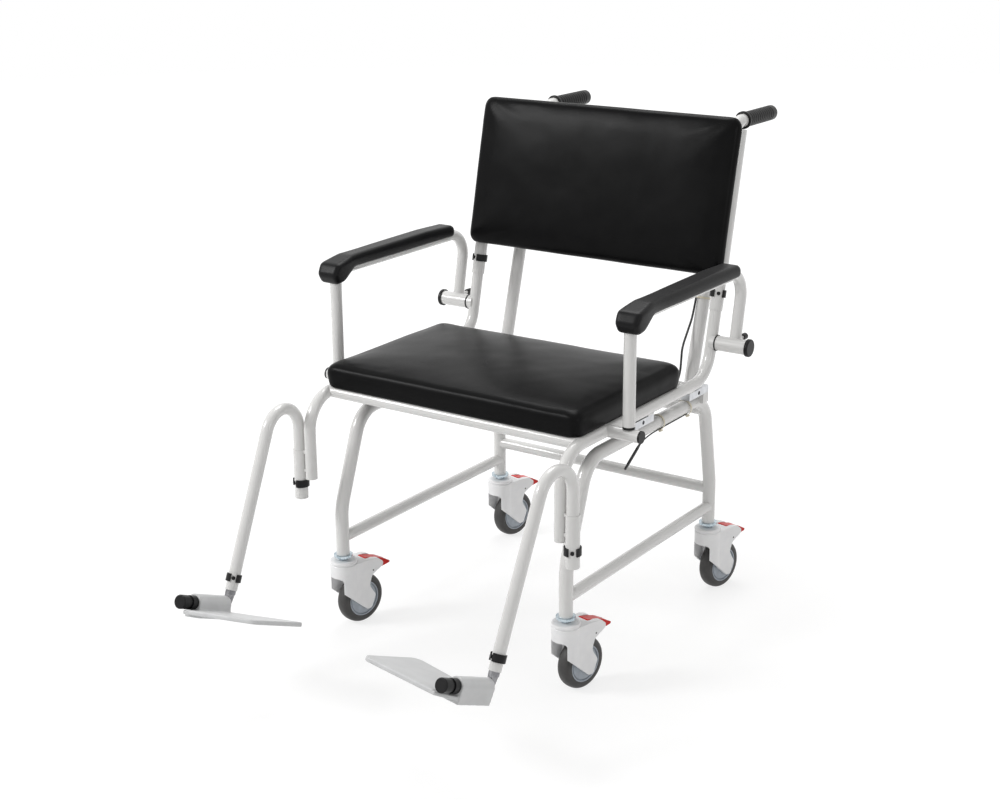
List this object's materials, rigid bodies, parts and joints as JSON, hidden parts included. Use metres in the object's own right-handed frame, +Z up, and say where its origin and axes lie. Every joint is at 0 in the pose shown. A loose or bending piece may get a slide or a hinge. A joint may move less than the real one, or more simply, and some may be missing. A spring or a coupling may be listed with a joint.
{
  "type": "digital chair scale",
  "caption": "Chair scale on castors with padded seat and back, swing-up armrests, swing-away leg rests with folding footplates, push handles and a rear display.",
  "frame": {"origin": "on the floor under the middle of the object's outline", "axes": "+Z up, +Y toward the back and the push grips, +X toward the sitter's left side, which is the right in the picture"},
  "size_m": [0.716, 1.2267, 0.9564],
  "materials": {
    "white_steel": "satin powder coat",
    "load_cell": "dark anodised",
    "grip_rubber": "ribbed matte",
    "zinc": "bright zinc",
    "upholstery": "black smooth upholstery",
    "arm_pad": "soft integral-skin foam",
    "black_plastic": "satin",
    "cord_black": "satin",
    "nylon": "natural nylon",
    "castor_white": "glossy",
    "hub_grey": "satin",
    "tyre_grey": "smooth grey rubber",
    "pedal_red": "glossy",
    "board": "dark plywood",
    "stem_steel": "satin",
    "footplate_grey": "fine texture",
    "case_white": "fine texture",
    "screen": "lit colour display",
    "key_green": "satin",
    "key_grey": "satin"
  },
  "bodies": {
    "frame": {"base_arches": "white_steel", "base_rails": "white_steel", "load_cells": "load_cell", "push_posts": "white_steel", "push_grips": "grip_rubber", "seat_rails": "white_steel", "seat_cross_tubes": "white_steel", "seat_board": "board", "seat_cushion": "upholstery", "tube_fittings": "black_plastic", "indicator_bracket": "white_steel", "scale_cable": "cord_black", "power_lead": "cord_black", "cable_ties": "nylon", "castor_bolts": "zinc"},
    "backrest": {"back_frame": "white_steel", "back_board": "board", "back_cushion": "upholstery", "back_clips": "black_plastic"},
    "indicator": {"indicator_rear": "case_white", "indicator_front": "case_white", "indicator_screen": "screen"},
    "castor_front_left": {"castor_fork_front_left": "castor_white"},
    "wheel_front_left": {"castor_hub_front_left": "hub_grey", "castor_tyre_front_left": "tyre_grey"},
    "brake_front_left": {"brake_pedal_front_left": "pedal_red"},
    "castor_front_right": {"castor_fork_front_right": "castor_white"},
    "wheel_front_right": {"castor_hub_front_right": "hub_grey", "castor_tyre_front_right": "tyre_grey"},
    "brake_front_right": {"brake_pedal_front_right": "pedal_red"},
    "castor_rear_left": {"castor_fork_rear_left": "castor_white"},
    "wheel_rear_left": {"castor_hub_rear_left": "hub_grey", "castor_tyre_rear_left": "tyre_grey"},
    "brake_rear_left": {"brake_pedal_rear_left": "pedal_red"},
    "castor_rear_right": {"castor_fork_rear_right": "castor_white"},
    "wheel_rear_right": {"castor_hub_rear_right": "hub_grey", "castor_tyre_rear_right": "tyre_grey"},
    "brake_rear_right": {"brake_pedal_rear_right": "pedal_red"},
    "armrest_right": {"armrest_tube_right": "white_steel", "armrest_pad_right": "arm_pad", "armrest_bushes_right": "black_plastic"},
    "legrest_right": {"hanger_tube_right": "white_steel", "foot_clip_right": "black_plastic"},
    "stem_right": {"footrest_stem_right": "stem_steel", "foot_knob_right": "black_plastic"},
    "foot_right": {"footplate_right": "footplate_grey"},
    "armrest_left": {"armrest_tube_left": "white_steel", "armrest_pad_left": "arm_pad", "armrest_bushes_left": "black_plastic"},
    "legrest_left": {"hanger_tube_left": "white_steel", "foot_clip_left": "black_plastic"},
    "stem_left": {"footrest_stem_left": "stem_steel", "foot_knob_left": "black_plastic"},
    "foot_left": {"footplate_left": "footplate_grey"},
    "key_1": {"indicator_key_1": "key_green"},
    "key_2": {"indicator_key_2": "key_grey"},
    "key_3": {"indicator_key_3": "key_grey"},
    "key_4": {"indicator_key_4": "key_grey"},
    "key_5": {"indicator_key_5": "key_grey"},
    "key_6": {"indicator_key_6": "key_grey"}
  },
  "joints": [
    {"name": "swivel_front_left", "type": "hinge", "parent": "frame", "child": "castor_front_left", "pos_m": [-0.252, -0.20125, 0.139], "axis": [0, 0, 1], "continuous": true},
    {"name": "roll_front_left", "type": "hinge", "parent": "castor_front_left", "child": "wheel_front_left", "pos_m": [-0.24431, -0.16506, 0.049], "axis": [0.9781, -0.2079, 0], "continuous": true},
    {"name": "pedal_front_left", "type": "hinge", "parent": "castor_front_left", "child": "brake_front_left", "pos_m": [-0.24098, -0.14941, 0.113], "axis": [-0.9781, 0.2079, 0], "range_deg": [0, 12]},
    {"name": "swivel_front_right", "type": "hinge", "parent": "frame", "child": "castor_front_right", "pos_m": [0.252, -0.20125, 0.139], "axis": [0, 0, 1], "continuous": true},
    {"name": "roll_front_right", "type": "hinge", "parent": "castor_front_right", "child": "wheel_front_right", "pos_m": [0.25969, -0.16506, 0.049], "axis": [0.9781, -0.2079, 0], "continuous": true},
    {"name": "pedal_front_right", "type": "hinge", "parent": "castor_front_right", "child": "brake_front_right", "pos_m": [0.26302, -0.14941, 0.113], "axis": [-0.9781, 0.2079, 0], "range_deg": [0, 12]},
    {"name": "swivel_rear_left", "type": "hinge", "parent": "frame", "child": "castor_rear_left", "pos_m": [-0.252, 0.32995, 0.139], "axis": [0, 0, 1], "continuous": true},
    {"name": "roll_rear_left", "type": "hinge", "parent": "castor_rear_left", "child": "wheel_rear_left", "pos_m": [-0.24431, 0.36614, 0.049], "axis": [0.9781, -0.2079, 0], "continuous": true},
    {"name": "pedal_rear_left", "type": "hinge", "parent": "castor_rear_left", "child": "brake_rear_left", "pos_m": [-0.24098, 0.38179, 0.113], "axis": [-0.9781, 0.2079, 0], "range_deg": [0, 12]},
    {"name": "swivel_rear_right", "type": "hinge", "parent": "frame", "child": "castor_rear_right", "pos_m": [0.252, 0.32995, 0.139], "axis": [0, 0, 1], "continuous": true},
    {"name": "roll_rear_right", "type": "hinge", "parent": "castor_rear_right", "child": "wheel_rear_right", "pos_m": [0.25969, 0.36614, 0.049], "axis": [0.9781, -0.2079, 0], "continuous": true},
    {"name": "pedal_rear_right", "type": "hinge", "parent": "castor_rear_right", "child": "brake_rear_right", "pos_m": [0.26302, 0.38179, 0.113], "axis": [-0.9781, 0.2079, 0], "range_deg": [0, 12]},
    {"name": "back_height", "type": "slide", "parent": "frame", "child": "backrest", "axis": [0, 0.2267, 0.974], "range_m": [0, 0.06]},
    {"name": "armrest_right_swing", "type": "hinge", "parent": "frame", "child": "armrest_right", "pos_m": [0.32, 0.27405, 0.5395], "axis": [-1, 0, 0], "range_deg": [0, 95]},
    {"name": "legrest_right_swing", "type": "hinge", "parent": "frame", "child": "legrest_right", "pos_m": [0.3003, -0.25765, 0.322], "axis": [0, 0, 1], "range_deg": [0, 90]},
    {"name": "stem_right_length", "type": "slide", "parent": "legrest_right", "child": "stem_right", "axis": [-0.0242, -0.4203, -0.907], "range_m": [0, 0.07]},
    {"name": "footplate_right_fold", "type": "hinge", "parent": "stem_right", "child": "foot_right", "pos_m": [0.28009, -0.60815, 0.1973], "axis": [0.0527, 0.9134, -0.4035], "range_deg": [0, 80]},
    {"name": "armrest_left_swing", "type": "hinge", "parent": "frame", "child": "armrest_left", "pos_m": [-0.32, 0.27405, 0.5395], "axis": [-1, 0, 0], "range_deg": [0, 95]},
    {"name": "legrest_left_swing", "type": "hinge", "parent": "frame", "child": "legrest_left", "pos_m": [-0.3003, -0.25765, 0.322], "axis": [0, 0, -1], "range_deg": [0, 90]},
    {"name": "stem_left_length", "type": "slide", "parent": "legrest_left", "child": "stem_left", "axis": [0.0242, -0.4203, -0.907], "range_m": [0, 0.07]},
    {"name": "footplate_left_fold", "type": "hinge", "parent": "stem_left", "child": "foot_left", "pos_m": [-0.28009, -0.60815, 0.1973], "axis": [0.0527, -0.9134, 0.4035], "range_deg": [0, 80]},
    {"name": "indicator_tilt", "type": "hinge", "parent": "frame", "child": "indicator", "pos_m": [0, 0.42778, 0.80889], "axis": [1, 0, 0], "range_deg": [-20, 20]},
    {"name": "key_1_press", "type": "slide", "parent": "indicator", "child": "key_1", "axis": [0, -0.9397, -0.342], "range_m": [0, 0.001], "stiffness_N_per_m": 800},
    {"name": "key_2_press", "type": "slide", "parent": "indicator", "child": "key_2", "axis": [0, -0.9397, -0.342], "range_m": [0, 0.001], "stiffness_N_per_m": 800},
    {"name": "key_3_press", "type": "slide", "parent": "indicator", "child": "key_3", "axis": [0, -0.9397, -0.342], "range_m": [0, 0.001], "stiffness_N_per_m": 800},
    {"name": "key_4_press", "type": "slide", "parent": "indicator", "child": "key_4", "axis": [0, -0.9397, -0.342], "range_m": [0, 0.001], "stiffness_N_per_m": 800},
    {"name": "key_5_press", "type": "slide", "parent": "indicator", "child": "key_5", "axis": [0, -0.9397, -0.342], "range_m": [0, 0.001], "stiffness_N_per_m": 800},
    {"name": "key_6_press", "type": "slide", "parent": "indicator", "child": "key_6", "axis": [0, -0.9397, -0.342], "range_m": [0, 0.001], "stiffness_N_per_m": 800}
  ]
}
